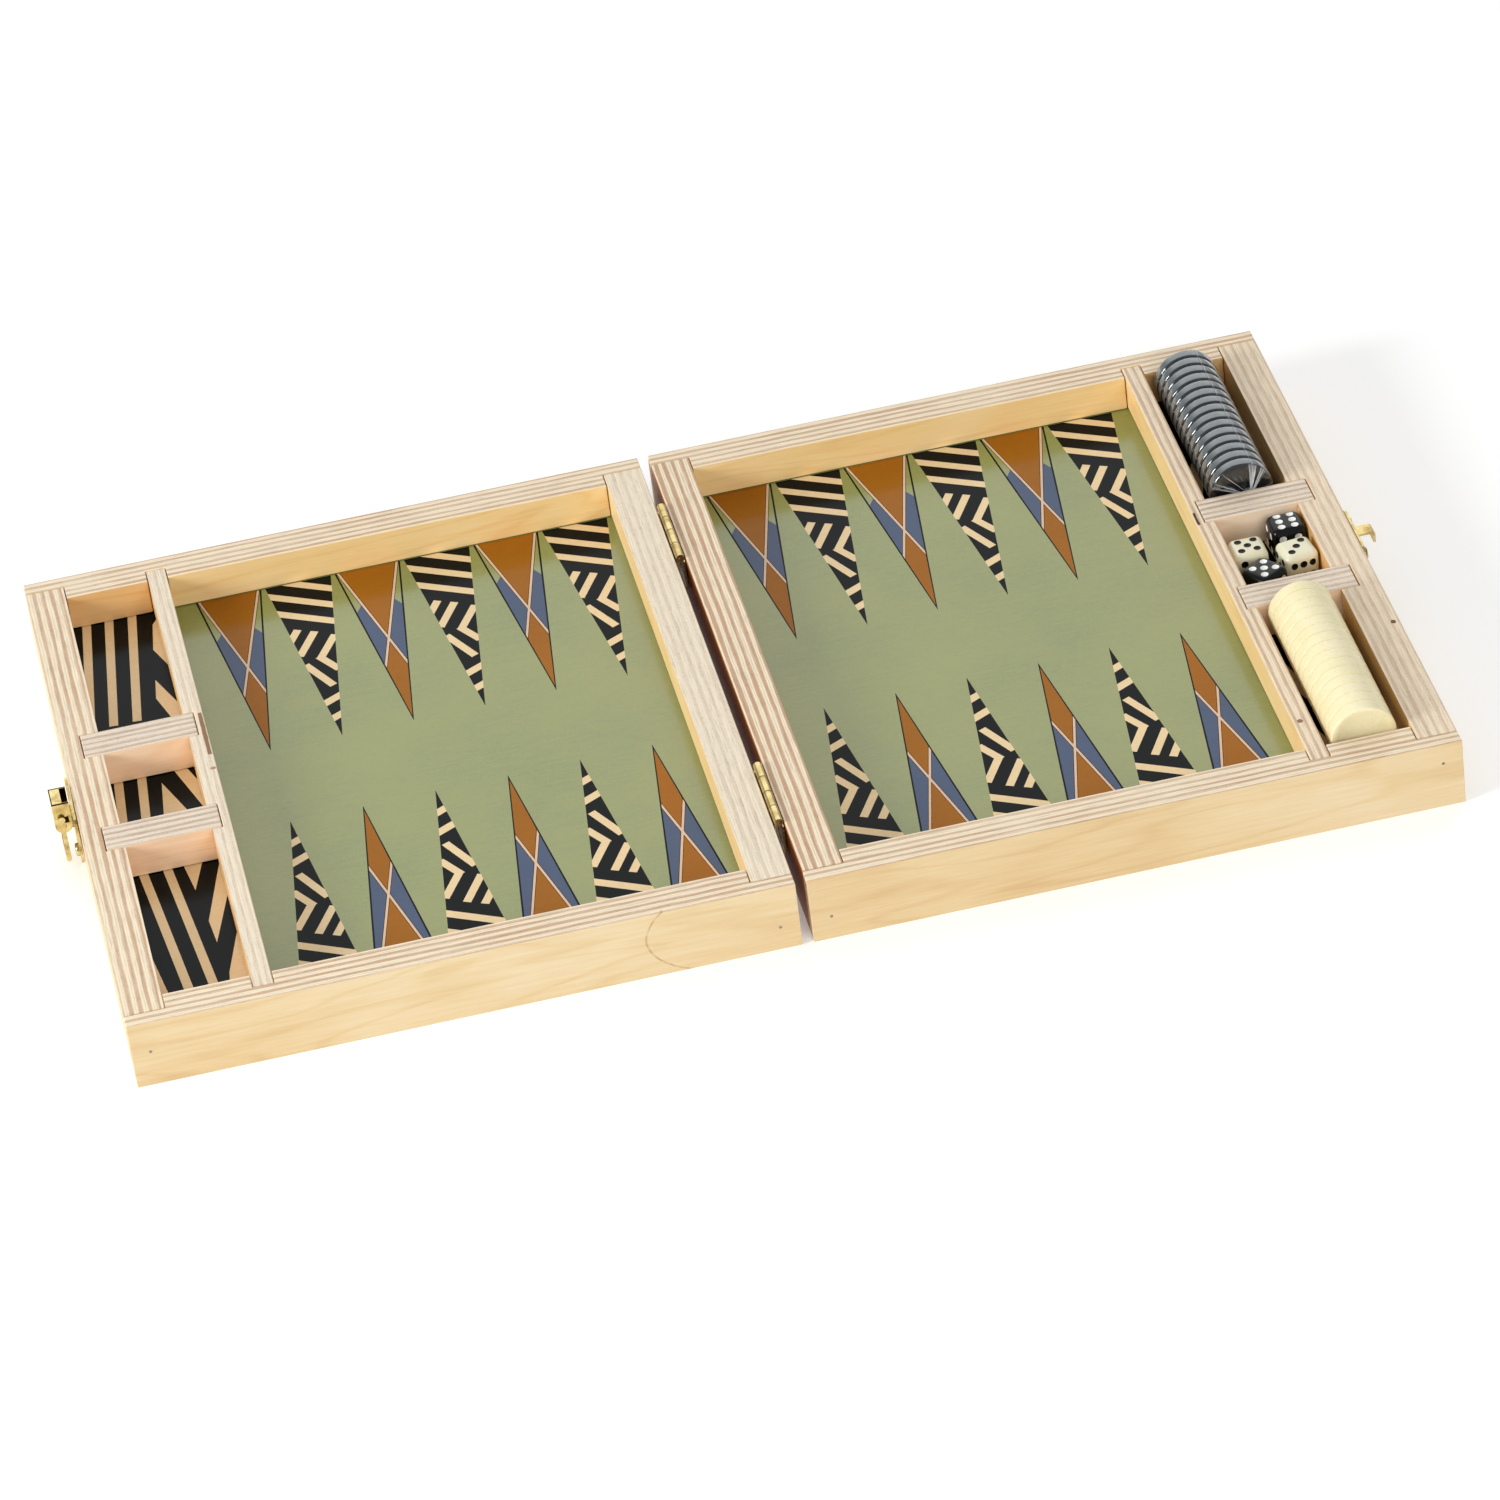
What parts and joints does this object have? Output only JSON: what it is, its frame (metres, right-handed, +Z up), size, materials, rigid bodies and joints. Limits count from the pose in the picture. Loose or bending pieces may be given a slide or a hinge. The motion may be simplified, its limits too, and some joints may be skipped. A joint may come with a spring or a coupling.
{
  "type": "backgammon case",
  "caption": "Folding plywood backgammon case lying open: two framed boards joined by butt hinges, side trays with checkers and dice, and a draw latch",
  "frame": {"origin": "bottom centre of the open case's bounding box, on the surface it lies on", "axes": "+X across both halves from the latch end to the catch end, +Y from front to back along the fold, +Z up"},
  "size_m": [0.4172, 0.24, 0.0312],
  "materials": {
    "birch_plywood": "pale birch plywood, satin clear lacquer, ply lines on the edges",
    "printed_floor": "thin panel with a printed playing field, matt",
    "brass_hardware": "bright brass-plated sheet steel",
    "dark_plastic": "black moulded plastic, glossy",
    "ivory_plastic": "ivory moulded plastic, glossy"
  },
  "bodies": {
    "right_case": {"right_back_rail": "birch_plywood", "right_front_rail": "birch_plywood", "right_outer_side": "birch_plywood", "right_spine_side": "birch_plywood", "right_tray_divider": "birch_plywood", "right_back_partition": "birch_plywood", "right_front_partition": "birch_plywood", "right_floor_panel": "printed_floor", "back_hinge_fixed_leaf": "brass_hardware", "front_hinge_fixed_leaf": "brass_hardware", "back_hinge_pin": "brass_hardware", "front_hinge_pin": "brass_hardware", "latch_catch": "brass_hardware"},
    "left_case": {"left_back_rail": "birch_plywood", "left_front_rail": "birch_plywood", "left_outer_side": "birch_plywood", "left_spine_side": "birch_plywood", "left_tray_divider": "birch_plywood", "left_back_partition": "birch_plywood", "left_front_partition": "birch_plywood", "left_floor_panel": "printed_floor", "back_hinge_moving_leaf": "brass_hardware", "front_hinge_moving_leaf": "brass_hardware", "latch_plate": "brass_hardware"},
    "lever": {"latch_lever": "brass_hardware"},
    "loop": {"latch_loop": "brass_hardware"},
    "dark_stack": {"dark_checker_01": "dark_plastic", "dark_checker_02": "dark_plastic", "dark_checker_03": "dark_plastic", "dark_checker_04": "dark_plastic", "dark_checker_05": "dark_plastic", "dark_checker_06": "dark_plastic", "dark_checker_07": "dark_plastic", "dark_checker_08": "dark_plastic", "dark_checker_09": "dark_plastic", "dark_checker_10": "dark_plastic", "dark_checker_11": "dark_plastic", "dark_checker_12": "dark_plastic", "dark_checker_13": "dark_plastic", "dark_checker_14": "dark_plastic", "dark_checker_15": "dark_plastic"},
    "ivory_stack": {"ivory_checker_01": "ivory_plastic", "ivory_checker_02": "ivory_plastic", "ivory_checker_03": "ivory_plastic", "ivory_checker_04": "ivory_plastic", "ivory_checker_05": "ivory_plastic", "ivory_checker_06": "ivory_plastic", "ivory_checker_07": "ivory_plastic", "ivory_checker_08": "ivory_plastic", "ivory_checker_09": "ivory_plastic", "ivory_checker_10": "ivory_plastic", "ivory_checker_11": "ivory_plastic", "ivory_checker_12": "ivory_plastic", "ivory_checker_13": "ivory_plastic", "ivory_checker_14": "ivory_plastic", "ivory_checker_15": "ivory_plastic"},
    "dark_die_a": {"die_dark_a": "dark_plastic"},
    "dark_die_b": {"die_dark_b": "dark_plastic"},
    "ivory_die_a": {"die_ivory_a": "ivory_plastic"},
    "ivory_die_b": {"die_ivory_b": "ivory_plastic"}
  },
  "joints": [
    {"name": "case_fold", "type": "hinge", "parent": "right_case", "child": "left_case", "pos_m": [0, 0, 0.0227], "axis": [0, -1, 0], "range_deg": [-180, 0]},
    {"name": "latch_lever_turn", "type": "hinge", "parent": "left_case", "child": "lever", "pos_m": [-0.2059, 0, 0.0156], "axis": [0, 1, 0], "range_deg": [-180, 0]},
    {"name": "latch_loop_swing", "type": "hinge", "parent": "lever", "child": "loop", "pos_m": [-0.2063, 0, 0.0184], "axis": [0, 1, 0], "range_deg": [0, 364.6]},
    {"name": "dark_stack_lift", "type": "slide", "parent": "right_case", "child": "dark_stack", "axis": [0, 0, 1], "range_m": [0, 0.04]},
    {"name": "ivory_stack_lift", "type": "slide", "parent": "right_case", "child": "ivory_stack", "axis": [0, 0, 1], "range_m": [0, 0.04]},
    {"name": "dark_die_a_lift", "type": "slide", "parent": "right_case", "child": "dark_die_a", "axis": [0, 0, 1], "range_m": [0, 0.03]},
    {"name": "dark_die_b_lift", "type": "slide", "parent": "right_case", "child": "dark_die_b", "axis": [0, 0, 1], "range_m": [0, 0.03]},
    {"name": "ivory_die_a_lift", "type": "slide", "parent": "right_case", "child": "ivory_die_a", "axis": [0, 0, 1], "range_m": [0, 0.03]},
    {"name": "ivory_die_b_lift", "type": "slide", "parent": "right_case", "child": "ivory_die_b", "axis": [0, 0, 1], "range_m": [0, 0.03]}
  ],
  "couplings": [
    {"joint": "latch_loop_swing", "follows": "latch_lever_turn", "ratio": -2.0234}
  ]
}
